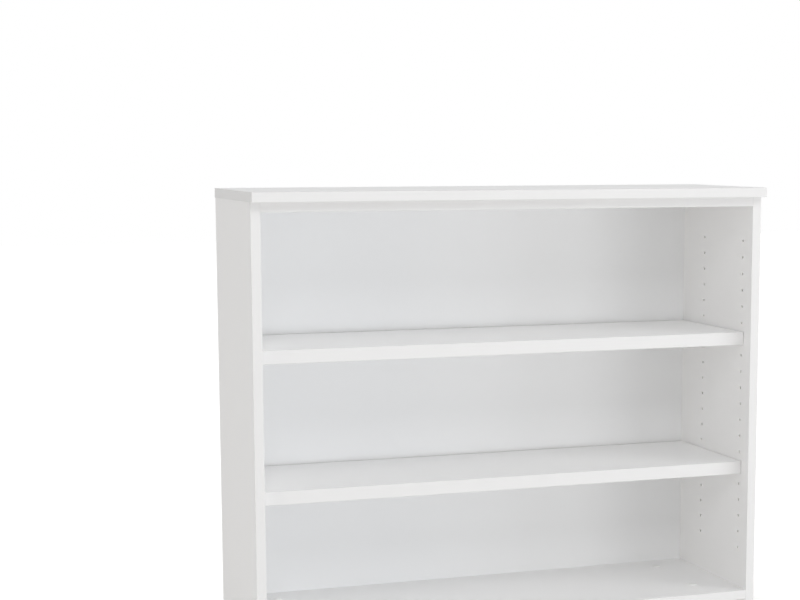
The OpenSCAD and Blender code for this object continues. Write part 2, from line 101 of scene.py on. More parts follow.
# White melamine-faced chipboard. Each face has a pressed, impregnated paper skin, white and satin
# with a fine pearl grain. The raw edges and the drilled holes show its core: coarse tan chips in
# the middle and finer, paler ones in the two outer layers.
SKIN_WHITES = ["#F5F5F5", "#F7F7F7"]
# Painted shade: the plinth boards take a greyer white than the same melamine on the other boards, which
# holds down the light that they catch from the front lamps and from the floor.
PLINTH_SHADED_WHITES = ["#E6E6E6", "#E8E8E8"]      # the plinth boards match the edging above them
PLINTH_BOARDS = ["kickboard", "rear_rail"]
SKIN_THICK = 0.3 * MM
SKIN_ROUGHNESS = 0.6
MELAMINE_IOR = 1.5
PEARL_GRAIN = 2.5 * MM      # drawn about three times as coarse as it is, so that it shows
PEARL_BUMP, PEARL_DEPTH = 0.15, 0.2 * MM
CHIP_LENGTH = 4.5 * MM
CHIP_FLATNESS = 3.0
CHIP_FRAY = 1.2 * MM
CHIP_COLOURS = ["#A08F78", "#CCBEA8", "#E1D7C6"]
FINE_LAYER = 3.5 * MM       # the inner half of it fades into the coarse middle
FINE_CHIP = 1.2 * MM
FINE_COLOURS = ["#DDD3C3", "#EEE7DB"]
CORE_ROUGHNESS = 0.9

# Painted light: the walls of the shelf holes are painted a pale white instead of the tan core, which lifts
# the shade that falls inside the drilled holes.
BORE_PAINTED_LIGHT = "#F4F3F1"
BORE_COLUMNS = (-0.103, 0.062)      # along Y
BORE_ROWS = (0.15, 0.82)            # lowest and highest, with some room
BORE_REACH = 4 * MM


def bore_light_mask(tree, point):
    """1 close to the two columns of shelf holes, whose walls take the painted light, 0 elsewhere."""
    parts = add(tree, "ShaderNodeSeparateXYZ", {0: point}).outputs
    columns = [add(tree, "ShaderNodeMath", {0: parts[1], 1: column, 2: BORE_REACH}, operation="COMPARE")
               for column in BORE_COLUMNS]
    middle, half = sum(BORE_ROWS) / 2, (BORE_ROWS[1] - BORE_ROWS[0]) / 2
    rows = add(tree, "ShaderNodeMath", {0: parts[2], 1: middle, 2: half}, operation="COMPARE")
    either = add(tree, "ShaderNodeMath", {0: columns[0], 1: columns[1]}, operation="MAXIMUM")
    return add(tree, "ShaderNodeMath", {0: either, 1: rows}, operation="MULTIPLY")


def melamine_board(node, axis):
    """Finish for a board whose skins lie square to the axis: 0 for X, 1 for Y, 2 for Z."""
    low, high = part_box(node)
    middle = (low[axis] + high[axis]) / 2
    core_half = (high[axis] - low[axis]) / 2 - SKIN_THICK
    # the plinth boards get the greyer white of painted shade
    whites = PLINTH_SHADED_WHITES if node in PLINTH_BOARDS else SKIN_WHITES

    def build(tree, point):
        place = add(tree, "ShaderNodeSeparateXYZ", {0: point}).outputs[axis]
        off_middle = add(tree, "ShaderNodeMath", {0: place, 1: middle}, operation="SUBTRACT")
        distance = add(tree, "ShaderNodeMath", {0: off_middle}, operation="ABSOLUTE")
        is_core = add(tree, "ShaderNodeMath", {0: distance, 1: core_half}, operation="LESS_THAN")
        is_fine = add(tree, "ShaderNodeMapRange",
                      {"Value": distance, "From Min": core_half - FINE_LAYER,
                       "From Max": core_half - 0.5 * FINE_LAYER})
        pearl = add(tree, "ShaderNodeTexNoise", {"Vector": point, "Scale": 1 / PEARL_GRAIN, "Detail": 2.0})
        skin = add(tree, "ShaderNodeMix", {0: pearl, 6: hex_colour(whites[0]),
                                           7: hex_colour(whites[1])}, data_type="RGBA").outputs[2]
        flatten = [1.0, 1.0, 1.0]
        flatten[axis] = CHIP_FLATNESS
        flat_point = add(tree, "ShaderNodeMapping", {"Vector": point, "Scale": flatten})
        frayed = add(tree, "ShaderNodeTexNoise",
                     {"Vector": flat_point, "Scale": 1 / CHIP_FRAY, "Detail": 3.0})
        shifted = add(tree, "ShaderNodeVectorMath", {0: frayed.outputs["Color"], 1: [CHIP_FRAY] * 3,
                                                     2: flat_point}, operation="MULTIPLY_ADD")
        chips = add(tree, "ShaderNodeTexVoronoi", {"Vector": shifted, "Scale": 1 / CHIP_LENGTH})
        shade = add(tree, "ShaderNodeSeparateColor", {0: chips.outputs["Color"]})
        coarse = add(tree, "ShaderNodeValToRGB", {0: shade})
        coarse.color_ramp.elements[0].color = hex_colour(CHIP_COLOURS[0])
        coarse.color_ramp.elements[1].color = hex_colour(CHIP_COLOURS[2])
        coarse.color_ramp.elements.new(0.5).color = hex_colour(CHIP_COLOURS[1])
        dust = add(tree, "ShaderNodeTexNoise", {"Vector": flat_point, "Scale": 1 / FINE_CHIP, "Detail": 2.0})
        fine = add(tree, "ShaderNodeMix", {0: dust, 6: hex_colour(FINE_COLOURS[0]),
                                           7: hex_colour(FINE_COLOURS[1])}, data_type="RGBA").outputs[2]
        core = add(tree, "ShaderNodeMix", {0: is_fine, 6: coarse, 7: fine}, data_type="RGBA").outputs[2]
        if node in ("side_left", "side_right"):
            # painted light: the hole walls in the side panels get a pale white in place of the core
            core = add(tree, "ShaderNodeMix", {0: bore_light_mask(tree, point), 6: core,
                                               7: hex_colour(BORE_PAINTED_LIGHT)}, data_type="RGBA").outputs[2]
        colour = add(tree, "ShaderNodeMix", {0: is_core, 6: skin, 7: core}, data_type="RGBA").outputs[2]
        roughness = add(tree, "ShaderNodeMix", {0: is_core, 2: SKIN_ROUGHNESS, 3: CORE_ROUGHNESS})
        relief = add(tree, "ShaderNodeMix", {0: is_core, 2: pearl, 3: chips.outputs["Distance"]})
        bump = add(tree, "ShaderNodeBump",
                   {"Strength": PEARL_BUMP, "Distance": PEARL_DEPTH, "Height": relief})
        return add(tree, "ShaderNodeBsdfPrincipled",
                   {"Base Color": colour, "Roughness": roughness, "IOR": MELAMINE_IOR,
                    "Normal": bump}).outputs[0]

    return material("melamine_chipboard_" + node, build)


# Extruded ABS edging, glued on and scraped flush: a little smoother than the melamine, with faint scraper
# marks along its length. Its white is greyer than the boards' as painted shade, which holds down the edged
# fronts that the front lamps light directly.
EDGING_SHADED_WHITE = "#E6E6E6"
EDGING_SHADED_WHITE_DEEP = "#E4E4E4"
EDGING_ROUGHNESS = 0.5
ABS_IOR = 1.5
SCRAPER_MARK = 1.5 * MM
SCRAPER_RUN = 60 * MM
SCRAPER_BUMP, SCRAPER_DEPTH = 0.08, 0.1 * MM


def abs_edging(node):
    """Finish for an edging strip whose marks run along its longest side."""
    low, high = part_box(node)
    size = high - low
    long_axis = max(range(3), key=lambda i: size[i])
    stretch = [1 / SCRAPER_MARK] * 3
    stretch[long_axis] = 1 / SCRAPER_RUN

    def build(tree, point):
        drawn = add(tree, "ShaderNodeMapping", {"Vector": point, "Scale": stretch})
        marks = add(tree, "ShaderNodeTexNoise", {"Vector": drawn, "Scale": 1.0, "Detail": 2.0})
        # painted shade: both whites of the edging are greyer than the boards' white
        colour = add(tree, "ShaderNodeMix", {0: marks, 6: hex_colour(EDGING_SHADED_WHITE_DEEP),
                                             7: hex_colour(EDGING_SHADED_WHITE)}, data_type="RGBA").outputs[2]
        bump = add(tree, "ShaderNodeBump",
                   {"Strength": SCRAPER_BUMP, "Distance": SCRAPER_DEPTH, "Height": marks})
        return add(tree, "ShaderNodeBsdfPrincipled",
                   {"Base Color": colour, "Roughness": EDGING_ROUGHNESS, "IOR": ABS_IOR,
                    "Normal": bump}).outputs[0]

    return material("abs_edging_" + node, build)


# Hardboard pressed from wet fibre: the front is lacquered white with a low sheen, the rear is bare brown
# fibre, faintly cloudy, with the print of the mesh that it was pressed on. The mesh print is real relief,
# and its shading is also painted into the fibre's colour as painted shade.
LACQUER_WHITE = "#F5F6F7"
LACQUER_ROUGHNESS = 0.55
LACQUER_IOR = 1.5
LACQUER_THICK = 0.3 * MM
FIBRE_COLOURS = ["#7E6346", "#A98A64"]
FIBRE_TONES = (0.3, 0.65)      # shades of the pattern that take the two colours
FIBRE_ROUGHNESS = 0.85
FIBRE_CLOUD = 90 * MM
FIBRE_LENGTH = 3 * MM          # bundles of fibre, the coarsest that show
FIBRE_BEND = 0.4
CLOUD_SHARE = 0.25
MESH_PITCH = 4 * MM            # drawn about twice as coarse as it is, so that it shows
MESH_PAINTED_SHADE = 0.06
MESH_BUMP, MESH_DEPTH = 0.6, 0.3 * MM


def lacquered_hardboard(tree, point):
    """Lacquer on the front of the back panel, and fibre behind it."""
    low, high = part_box("back_panel")
    parts = add(tree, "ShaderNodeSeparateXYZ", {0: point})
    is_fibre = add(tree, "ShaderNodeMath", {0: parts.outputs[1], 1: low.y + LACQUER_THICK},
                   operation="GREATER_THAN")
    waves = []
    for i in (0, 2):
        turns = add(tree, "ShaderNodeMath", {0: parts.outputs[i], 1: 2 * math.pi / MESH_PITCH},
                    operation="MULTIPLY")
        waves.append(add(tree, "ShaderNodeMath", {0: turns}, operation="SINE"))
    mesh_print = add(tree, "ShaderNodeMath", {0: waves[0], 1: waves[1]}, operation="MULTIPLY")
    clouds = add(tree, "ShaderNodeTexNoise", {"Vector": point, "Scale": 1 / FIBRE_CLOUD, "Detail": 5.0})
    fibres = add(tree, "ShaderNodeTexNoise",
                 {"Vector": point, "Scale": 1 / FIBRE_LENGTH, "Detail": 5.0, "Distortion": FIBRE_BEND})
    mottled = add(tree, "ShaderNodeMix", {0: CLOUD_SHARE, 2: fibres, 3: clouds})
    # painted shade: the mesh print darkens and lightens the fibre's colour along with its relief
    tone = add(tree, "ShaderNodeMath", {0: mesh_print, 1: MESH_PAINTED_SHADE, 2: mottled},
               operation="MULTIPLY_ADD")
    spread = add(tree, "ShaderNodeMapRange",
                 {"Value": tone, "From Min": FIBRE_TONES[0], "From Max": FIBRE_TONES[1]})
    brown = add(tree, "ShaderNodeMix", {0: spread, 6: hex_colour(FIBRE_COLOURS[0]),
                                        7: hex_colour(FIBRE_COLOURS[1])}, data_type="RGBA").outputs[2]
    colour = add(tree, "ShaderNodeMix", {0: is_fibre, 6: hex_colour(LACQUER_WHITE), 7: brown},
                 data_type="RGBA").outputs[2]
    relief = add(tree, "ShaderNodeMath", {0: mesh_print, 1: is_fibre}, operation="MULTIPLY")
    bump = add(tree, "ShaderNodeBump", {"Strength": MESH_BUMP, "Distance": MESH_DEPTH, "Height": relief})
    roughness = add(tree, "ShaderNodeMix", {0: is_fibre, 2: LACQUER_ROUGHNESS, 3: FIBRE_ROUGHNESS})
    return add(tree, "ShaderNodeBsdfPrincipled",
               {"Base Color": colour, "Roughness": roughness, "IOR": LACQUER_IOR,
                "Normal": bump}).outputs[0]


# Zinc plate over steel: bluish grey and half bright. Drawn wire: brighter, with a smoother skin.
# Zinc die casting: duller and darker. All have a patchy tone and a fine grain.
METAL_PATCH = 8          # grains across a patch
METAL_SPREAD = 0.06      # how far the roughness goes up and down
METAL_BUMP = 0.3


def plated_steel(colours, grain, roughness, depth):
    """Builder for a metal with a patchy tone and a fine grain."""
    def build(tree, point):
        patches = add(tree, "ShaderNodeTexNoise", {"Vector": point, "Scale": 1 / (METAL_PATCH * grain)})
        colour = add(tree, "ShaderNodeMix", {0: patches, 6: hex_colour(colours[0]),
                                             7: hex_colour(colours[1])}, data_type="RGBA").outputs[2]
        fine = add(tree, "ShaderNodeTexNoise", {"Vector": point, "Scale": 1 / grain, "Detail": 3.0})
        rough = add(tree, "ShaderNodeMapRange", {"Value": fine, "To Min": roughness - METAL_SPREAD,
                                                 "To Max": roughness + METAL_SPREAD})
        bump = add(tree, "ShaderNodeBump", {"Strength": METAL_BUMP, "Distance": depth, "Height": fine})
        return add(tree, "ShaderNodeBsdfPrincipled",
                   {"Base Color": colour, "Metallic": 1.0, "Roughness": rough, "Normal": bump}).outputs[0]

    return build


# Black polyamide and white polyethylene: moulded in eroded tools, which gives them an even, dull
# grain.
PLASTIC_IOR = 1.49
ERODED_BUMP, ERODED_DEPTH = 0.25, 0.05 * MM


def moulded_plastic(colours, grain, roughness):
    """Builder for a moulded plastic with an eroded tool texture."""
    def build(tree, point):
        texture = add(tree, "ShaderNodeTexNoise", {"Vector": point, "Scale": 1 / grain, "Detail": 3.0})
        colour = add(tree, "ShaderNodeMix", {0: texture, 6: hex_colour(colours[0]),
                                             7: hex_colour(colours[1])}, data_type="RGBA").outputs[2]
        bump = add(tree, "ShaderNodeBump",
                   {"Strength": ERODED_BUMP, "Distance": ERODED_DEPTH, "Height": texture})
        return add(tree, "ShaderNodeBsdfPrincipled",
                   {"Base Color": colour, "Roughness": roughness, "IOR": PLASTIC_IOR,
                    "Normal": bump}).outputs[0]

    return build


# Beech dowels, turned, compressed and grooved: pale reddish brown with short darker rays along the grain.
BEECH_COLOURS = ["#B98A5C", "#D8B384"]
BEECH_ROUGHNESS = 0.6
BEECH_IOR = 1.5
RAY_WIDTH = 0.6 * MM
RAY_RUN = 6 * MM
RAY_BUMP, RAY_DEPTH = 0.3, 0.05 * MM


def turned_beech(tree, point):
    """Rays along X, in which the dowels lie."""
    drawn = add(tree, "ShaderNodeMapping",
                {"Vector": point, "Scale": [1 / RAY_RUN, 1 / RAY_WIDTH, 1 / RAY_WIDTH]})
    rays = add(tree, "ShaderNodeTexNoise", {"Vector": drawn, "Scale": 1.0, "Detail": 4.0})
    colour = add(tree, "ShaderNodeMix", {0: rays, 6: hex_colour(BEECH_COLOURS[0]),
                                         7: hex_colour(BEECH_COLOURS[1])}, data_type="RGBA").outputs[2]
    bump = add(tree, "ShaderNodeBump", {"Strength": RAY_BUMP, "Distance": RAY_DEPTH, "Height": rays})
    return add(tree, "ShaderNodeBsdfPrincipled",
               {"Base Color": colour, "Roughness": BEECH_ROUGHNESS, "IOR": BEECH_IOR,
                "Normal": bump}).outputs[0]


ZINC_PLATE = material("zinc_plated_steel", plated_steel(["#A9AEB2", "#C6C9CB"], grain=0.4 * MM,
                                                        roughness=0.34, depth=0.02 * MM))
DRAWN_WIRE = material("drawn_steel_wire", plated_steel(["#B9BBBD", "#CFD0D1"], grain=0.3 * MM,
                                                       roughness=0.24, depth=0.01 * MM))
DIE_CAST = material("zinc_die_casting", plated_steel(["#8F9193", "#A7A9AB"], grain=0.5 * MM,
                                                     roughness=0.48, depth=0.04 * MM))
BLACK_POLYAMIDE = material("moulded_black_polyamide",
                           moulded_plastic(["#191A1B", "#232425"], grain=0.5 * MM, roughness=0.5))
WHITE_POLYETHYLENE = material("moulded_white_polyethylene",
                              moulded_plastic(["#F1F1F0", "#F4F4F3"], grain=0.5 * MM, roughness=0.45))
BEECH = material("turned_beech", turned_beech)


def paint(node, finish):
    """Gives a CAD node its finish."""
    mesh = NODES[node].data
    mesh.materials.clear()
    mesh.materials.append(finish)


BOARD_AXES = {"side_left": 0, "side_right": 0, "top_panel": 2, "sub_top": 2, "bottom_panel": 2,
              "kickboard": 1, "rear_rail": 1, "shelf_upper": 2, "shelf_lower": 2}
for board, skin_axis in BOARD_AXES.items():
    paint(board, melamine_board(board, skin_axis))
for strip in [n for n in NODES if n.endswith("_edging")]:
    paint(strip, abs_edging(strip))
paint("back_panel", material("lacquered_hardboard", lacquered_hardboard))
for wires in ("shelf_upper_wires", "shelf_lower_wires"):
    paint(wires, DRAWN_WIRE)
paint("cam_housings", DIE_CAST)
paint("foot_housings", BLACK_POLYAMIDE)
paint("access_caps", WHITE_POLYETHYLENE)


# Turned blanks: rings of points round Z, closed at both ends

MERGE_WITHIN = 1e-7
POINT_R = 1e-6      # radius of a ring that closes a blank in a point


def even_spokes(count):
    """Angles of the points of a ring, evenly spaced."""
    return [2 * math.pi * i / count for i in range(count)]


def turned(name, rings, spokes):
    """A closed mesh through rings, in the order in which they follow along its surface.
    A ring is (height, radius), and its radius may be a rule that gives it at an angle."""
    shape = bmesh.new()
    loops = []
    for height, radius in rings:
        loop = []
        for angle in spokes:
            r = radius(angle) if callable(radius) else radius
            loop.append(shape.verts.new((r * math.cos(angle), r * math.sin(angle), height)))
        loops.append(loop)
    for below, above in zip(loops, loops[1:]):
        for i in range(len(spokes)):
            j = (i + 1) % len(spokes)
            shape.faces.new((below[i], below[j], above[j], above[i]))
    shape.faces.new(reversed(loops[0]))
    shape.faces.new(loops[-1])
    bmesh.ops.remove_doubles(shape, verts=shape.verts, dist=MERGE_WITHIN)
    bmesh.ops.recalc_face_normals(shape, faces=shape.faces)
    mesh = bpy.data.meshes.new(name)
    shape.to_mesh(mesh)
    shape.free()
    return mesh


def stack(low, high, radius, step):
    """Rings of one radius from low to high, close enough together to carry a thread."""
    count = max(2, round((high - low) / step) + 1)
    return [(low + (high - low) * i / (count - 1), radius) for i in range(count)]


# Geometry Nodes

def geometry_tree(name, sockets):
    """A tree with a geometry input and named inputs, and its input node."""
    tree = bpy.data.node_groups.new(name, "GeometryNodeTree")
    tree.interface.new_socket("Geometry", in_out="INPUT", socket_type="NodeSocketGeometry")
    for label, kind in sockets.items():
        tree.interface.new_socket(label, in_out="INPUT", socket_type="NodeSocket" + kind)
    tree.interface.new_socket("Geometry", in_out="OUTPUT", socket_type="NodeSocketGeometry")
    return tree, add(tree, "NodeGroupInput")


def finish_tree(tree, given, geometry):
    """Ends a tree: instances are made real and get their material."""
    real = add(tree, "GeometryNodeRealizeInstances", {"Geometry": geometry})
    painted = add(tree, "GeometryNodeSetMaterial",
                  {"Geometry": real, "Material": given.outputs["Material"]})
    add(tree, "NodeGroupOutput", {"Geometry": painted})
    return tree


CREST, ROOT = 0.08, 0.4      # shares of a turn, from its middle, where a groove begins and is full


def ridge_tree():
    """Cuts a thread or flutes into a blank round Z: with Around 1 a thread, with Per Metre 0 flutes."""
    tree, given = geometry_tree("cut_ridges", {"Around": "Float", "Per Metre": "Float",
                                               "Depth": "Float", "From": "Float", "To": "Float",
                                               "Run Out": "Float", "Material": "Material"})
    size = given.outputs
    position = add(tree, "GeometryNodeInputPosition")
    parts = add(tree, "ShaderNodeSeparateXYZ", {0: position})
    x, y, z = parts.outputs
    angle = add(tree, "ShaderNodeMath", {0: y, 1: x}, operation="ARCTAN2")
    turns = add(tree, "ShaderNodeMath", {0: angle, 1: 2 * math.pi}, operation="DIVIDE")
    around = add(tree, "ShaderNodeMath", {0: turns, 1: size["Around"]}, operation="MULTIPLY")
    along = add(tree, "ShaderNodeMath", {0: z, 1: size["Per Metre"]}, operation="MULTIPLY")
    phase = add(tree, "ShaderNodeMath", {0: along, 1: around}, operation="SUBTRACT")
    wave = add(tree, "ShaderNodeMath", {0: phase, 1: 0.5}, operation="PINGPONG")
    groove = add(tree, "ShaderNodeMapRange", {"Value": wave, "From Min": CREST, "From Max": ROOT})
    above = add(tree, "ShaderNodeMath", {0: z, 1: size["From"]}, operation="SUBTRACT")
    below = add(tree, "ShaderNodeMath", {0: size["To"], 1: z}, operation="SUBTRACT")
    nearest = add(tree, "ShaderNodeMath", {0: above, 1: below}, operation="MINIMUM")
    share = add(tree, "ShaderNodeMath", {0: nearest, 1: size["Run Out"]}, operation="DIVIDE",
                use_clamp=True)
    cut = add(tree, "ShaderNodeMath", {0: groove, 1: share}, operation="MULTIPLY")
    depth = add(tree, "ShaderNodeMath", {0: cut, 1: size["Depth"]}, operation="MULTIPLY")
    flat = add(tree, "ShaderNodeCombineXYZ", {0: x, 1: y})
    radius = add(tree, "ShaderNodeVectorMath", {0: flat}, operation="LENGTH").outputs["Value"]
    inward = add(tree, "ShaderNodeMath", {0: depth, 1: radius}, operation="DIVIDE")
    factor = add(tree, "ShaderNodeMath", {0: inward, 1: -1.0}, operation="MULTIPLY")
    offset = add(tree, "ShaderNodeVectorMath", {0: flat, "Scale": factor.outputs[0]}, operation="SCALE")
    moved = add(tree, "GeometryNodeSetPosition", {"Geometry": size["Geometry"], "Offset": offset})
    return finish_tree(tree, given, moved)


def place_tree():
    """Sets a copy of a piece on every point, turned as the point's own attribute says."""
    tree, given = geometry_tree("set_in_place", {"Piece": "Object", "Material": "Material"})
    turn = add(tree, "GeometryNodeInputNamedAttribute", {"Name": "turn"}, data_type="FLOAT_VECTOR")
    rotation = add(tree, "FunctionNodeEulerToRotation", {0: turn})
    piece = add(tree, "GeometryNodeObjectInfo", {"Object": given.outputs["Piece"]})
    copies = add(tree, "GeometryNodeInstanceOnPoints",
                 {"Points": given.outputs["Geometry"], "Instance": piece.outputs["Geometry"],
                  "Rotation": rotation})
    return finish_tree(tree, given, copies)


RIDGES = ridge_tree()
PLACES = place_tree()
SMOOTH_UNDER = math.radians(35)
CAD_MERGE_WITHIN = 1e-6      # joins the faces of a solid, so that each solid can be told apart


def grown(name, tree, start, values):
    """The plain mesh that a tree makes from a starting mesh and its named inputs."""
    maker = bpy.data.objects.new(name, start)
    SCENE.collection.objects.link(maker)
    modifier = maker.modifiers.new("shape", "NODES")
    modifier.node_group = tree
    for item in tree.interface.items_tree:
        if item.in_out == "INPUT" and item.name in values:
            modifier[item.identifier] = values[item.name]
    evaluated = maker.evaluated_get(bpy.context.evaluated_depsgraph_get())
    mesh = bpy.data.meshes.new_from_object(evaluated)
    bpy.data.objects.remove(maker)
    mesh.name = name
    mesh.polygons.foreach_set("use_smooth", [True] * len(mesh.polygons))
    mesh.set_sharp_from_angle(angle=SMOOTH_UNDER)
    return mesh


def shown(name, mesh, body, slot, *nodes):
    """A finished piece that rides on a body and stands for CAD nodes."""
    piece = bpy.data.objects.new(name, mesh)
    SCENE.collection.objects.link(piece)
    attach(piece, body)
    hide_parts(*nodes)
    return piece


def solids(node):
    """Lowest and highest corner of each separate solid of a CAD node."""
    shape = bmesh.new()
    shape.from_mesh(NODES[node].data)
    bmesh.ops.remove_doubles(shape, verts=shape.verts, dist=CAD_MERGE_WITHIN)
    left, boxes = set(shape.verts), []
    while left:
        found, edge = [], [left.pop()]
        while edge:
            vertex = edge.pop()
            found.append(vertex.co.copy())
            near = {e.other_vert(vertex) for e in vertex.link_edges} & left
            left -= near
            edge.extend(near)
        boxes.append((Vector(map(min, *found)), Vector(map(max, *found))))
    shape.free()
    return sorted(boxes, key=lambda b: tuple(b[0]))


def set_in_place(name, template, node, seat, finish, slot):
    """Copies of a template on the solids of a CAD node; seat gives the point and turn for a box."""
    boxes = solids(node)
    points = bpy.data.meshes.new(name)
    seats = [seat(low, high) for low, high in boxes]
    points.from_pydata([s[0] for s in seats], [], [])
    turns = points.attributes.new("turn", "FLOAT_VECTOR", "POINT")
    turns.data.foreach_set("vector", [v for s in seats for v in s[1]])
    model = bpy.data.objects.new(name + "_template", template)
    SCENE.collection.objects.link(model)
    mesh = grown(name, PLACES, points, {"Piece": model, "Material": finish})
    bpy.data.objects.remove(model)
    return shown(name, mesh, "carcass", slot, node)


def threaded(name, rings, spokes, pitch, depth, low, high, finish):
    """A turned blank with a thread cut between two heights."""
    return grown(name, RIDGES, turned(name, rings, spokes),
                 {"Around": 1.0, "Per Metre": 1 / pitch, "Depth": depth, "From": low, "To": high,
                  "Run Out": pitch, "Material": finish})


# Screws with a cross recess

RECESS_REACH = 0.55      # of the head's radius
RECESS_WIDTH = 0.22      # half the width of an arm, of the head's radius
RECESS_DEPTH = 0.55      # of the head's radius
RECESS_FLOOR = (0.8, 0.45)      # depth of the arms' floor, and how far they are drawn in there
ARM_STEPS = 4            # spokes from the corner of an arm to the middle between two arms
QUARTER = math.pi / 2
ARM_CORNER = math.atan2(RECESS_WIDTH, RECESS_REACH)
ANGLE_SLACK = 1e-9


def cross_spokes():
    """Angles that hit the corners of a cross recess and keep the head round."""
    step = (QUARTER / 2 - ARM_CORNER) / ARM_STEPS
    half = [0.0, ARM_CORNER / 2, ARM_CORNER, *[ARM_CORNER + step * i for i in range(1, ARM_STEPS + 1)]]
    quarter = [-a for a in reversed(half[1:-1])] + half
    return [q * QUARTER + a for q in range(4) for a in quarter]


def cross_radius(head_r):
    """Rule for the outline of the recess: four arms with parallel sides."""
    def radius(angle):
        off = abs((angle + QUARTER / 2) % QUARTER - QUARTER / 2)
        if off <= ARM_CORNER + ANGLE_SLACK:
            return RECESS_REACH * head_r / math.cos(off)
        return RECESS_WIDTH * head_r / math.sin(off)

    return radius


def cross_floor(head_r):
    """The same cross, drawn in towards its pointed floor."""
    outline = cross_radius(head_r)
    return lambda angle: RECESS_FLOOR[1] * outline(angle)


THREAD_STEPS = 6         # rings for each turn of a thread
THREAD_SHARE = 0.3       # depth of a wood screw's thread, of its radius
TIP_SHARE = 0.06         # radius of its tip, of its radius


def screw_mesh(name, length, head_d, shank_d, pitch, head_rings):
    """Wood screw pointing up, with the face of its head at z = 0."""
    head_r, r = head_d / 2, shank_d / 2
    thread_low = head_rings[-1][0] + pitch
    tip = length - 2 * r
    recess = RECESS_DEPTH * head_r
    rings = [(recess, POINT_R), (RECESS_FLOOR[0] * recess, cross_floor(head_r)),
             (0.0, cross_radius(head_r)), *head_rings,
             *stack(thread_low - pitch / 2, tip, r, pitch / THREAD_STEPS), (length, TIP_SHARE * r)]
    return threaded(name, rings, cross_spokes(), pitch, THREAD_SHARE * r, thread_low, tip + pitch / 2,
                    ZINC_PLATE)


def countersunk(head_d, shank_d):
    """Rings of a flat head and the cone below it."""
    return [(0.0, head_d / 2), ((head_d - shank_d) / 2, shank_d / 2)]


DOME = [(0.0, 0.7), (0.15, 0.85), (0.45, 1.0), (1.0, 1.0)]      # shares of a head's height and radius


def pan(head_d, shank_d, head_h):
    """Rings of a domed head with a flat seat."""
    return [*[(up * head_h, out * head_d / 2) for up, out in DOME], (head_h, shank_d / 2)]


BACK_SCREW_D, BACK_SCREW_PITCH = 3.0 * MM, 1.35 * MM
TOP_SCREW_D, TOP_SCREW_PITCH = 4.0 * MM, 1.8 * MM
FOOT_SCREW_D, FOOT_SCREW_PITCH, FOOT_HEAD_H = 4.0 * MM, 1.8 * MM, 2.4 * MM


def back_seat(low, high):
    """Head against the rear face, point to the front."""
    return ((low.x + high.x) / 2, high.y, (low.z + high.z) / 2), (QUARTER, 0.0, 0.0)


def upward_seat(low, high):
    """Head below, point up."""
    return ((low.x + high.x) / 2, (low.y + high.y) / 2, low.z), (0.0, 0.0, 0.0)


def cross_seat(low, high):
    """Centred on a solid that lies along X."""
    return tuple((low + high) / 2), (0.0, QUARTER, 0.0)


low, high = solids("back_screws")[0]
back_head_d, back_len = high.x - low.x, high.y - low.y
set_in_place("back_panel_screws",
             screw_mesh("back_screw", back_len, back_head_d, BACK_SCREW_D, BACK_SCREW_PITCH,
                        countersunk(back_head_d, BACK_SCREW_D)),
             "back_screws", back_seat, ZINC_PLATE, "zinc_plated")

low, high = solids("top_screws")[0]
top_head_d, top_len = high.x - low.x, high.z - low.z
set_in_place("top_panel_screws",
             screw_mesh("top_screw", top_len, top_head_d, TOP_SCREW_D, TOP_SCREW_PITCH,
                        countersunk(top_head_d, TOP_SCREW_D)),
             "top_screws", upward_seat, ZINC_PLATE, "zinc_plated")

low, high = solids("foot_screws")[0]
foot_head_d, foot_len = high.x - low.x, high.z - low.z
set_in_place("foot_housing_screws",
             screw_mesh("foot_screw", foot_len, foot_head_d, FOOT_SCREW_D, FOOT_SCREW_PITCH,
                        pan(foot_head_d, FOOT_SCREW_D, FOOT_HEAD_H)),
             "foot_screws", upward_seat, ZINC_PLATE, "zinc_plated")


# Cam bolts: head and neck in the cam, shank in the board, collar against the side and thread in it

BOLT_D, BOLT_NECK_D, BOLT_THREAD_D = 6 * MM, 3.8 * MM, 5 * MM
BOLT_HEAD = 4 * MM
BOLT_NECK = 4 * MM
BOLT_BEVEL = 0.6 * MM
BOLT_COLLAR = 1.5 * MM
BOLT_THREAD = 10 * MM
BOLT_PITCH, BOLT_THREAD_DEPTH = 2.0 * MM, 0.7 * MM
BOLT_SIDES = 40


def bolt_mesh():
    """Cam bolt pointing up, with its head at z = 0."""
    low, high = solids("cam_bolts")[0]
    length, collar_d = high.x - low.x, high.z - low.z
    collar_high = length - BOLT_THREAD
    r, neck_r, thread_r = BOLT_D / 2, BOLT_NECK_D / 2, BOLT_THREAD_D / 2
    thread_low, thread_high = collar_high + BOLT_PITCH / 2, length - thread_r / 2
    rings = [(0.0, r - BOLT_BEVEL), (BOLT_BEVEL, r), (BOLT_HEAD - (r - neck_r), r), (BOLT_HEAD, neck_r),
             (BOLT_HEAD + BOLT_NECK, neck_r), (BOLT_HEAD + BOLT_NECK + (r - neck_r), r),
             (collar_high - BOLT_COLLAR, r), (collar_high - BOLT_COLLAR, collar_d / 2),
             (collar_high, collar_d / 2), (collar_high, thread_r),
             *stack(thread_low, thread_high, thread_r, BOLT_PITCH / THREAD_STEPS),
             (length, thread_r / 2)]
    return threaded("cam_bolt", rings, even_spokes(BOLT_SIDES), BOLT_PITCH, BOLT_THREAD_DEPTH,
                    thread_low, thread_high, ZINC_PLATE)


def bolt_seat(low, high):
    """Head towards the middle of the bookcase, point outwards."""
    side = math.copysign(1.0, low.x + high.x)
    head_x = low.x if side > 0 else high.x
    return (head_x, (low.y + high.y) / 2, (low.z + high.z) / 2), (0.0, side * QUARTER, 0.0)


set_in_place("threaded_cam_bolts", bolt_mesh(), "cam_bolts", bolt_seat, ZINC_PLATE, "zinc_plated")


# Grooved dowels

FLUTES = 20
FLUTE_SIDES = 4          # spokes for each flute or rib
FLUTE_DEPTH = 0.35 * MM
FLUTE_RUN_OUT = 2 * MM
DOWEL_CHAMFER = 1 * MM
DOWEL_STEP = 4 * MM


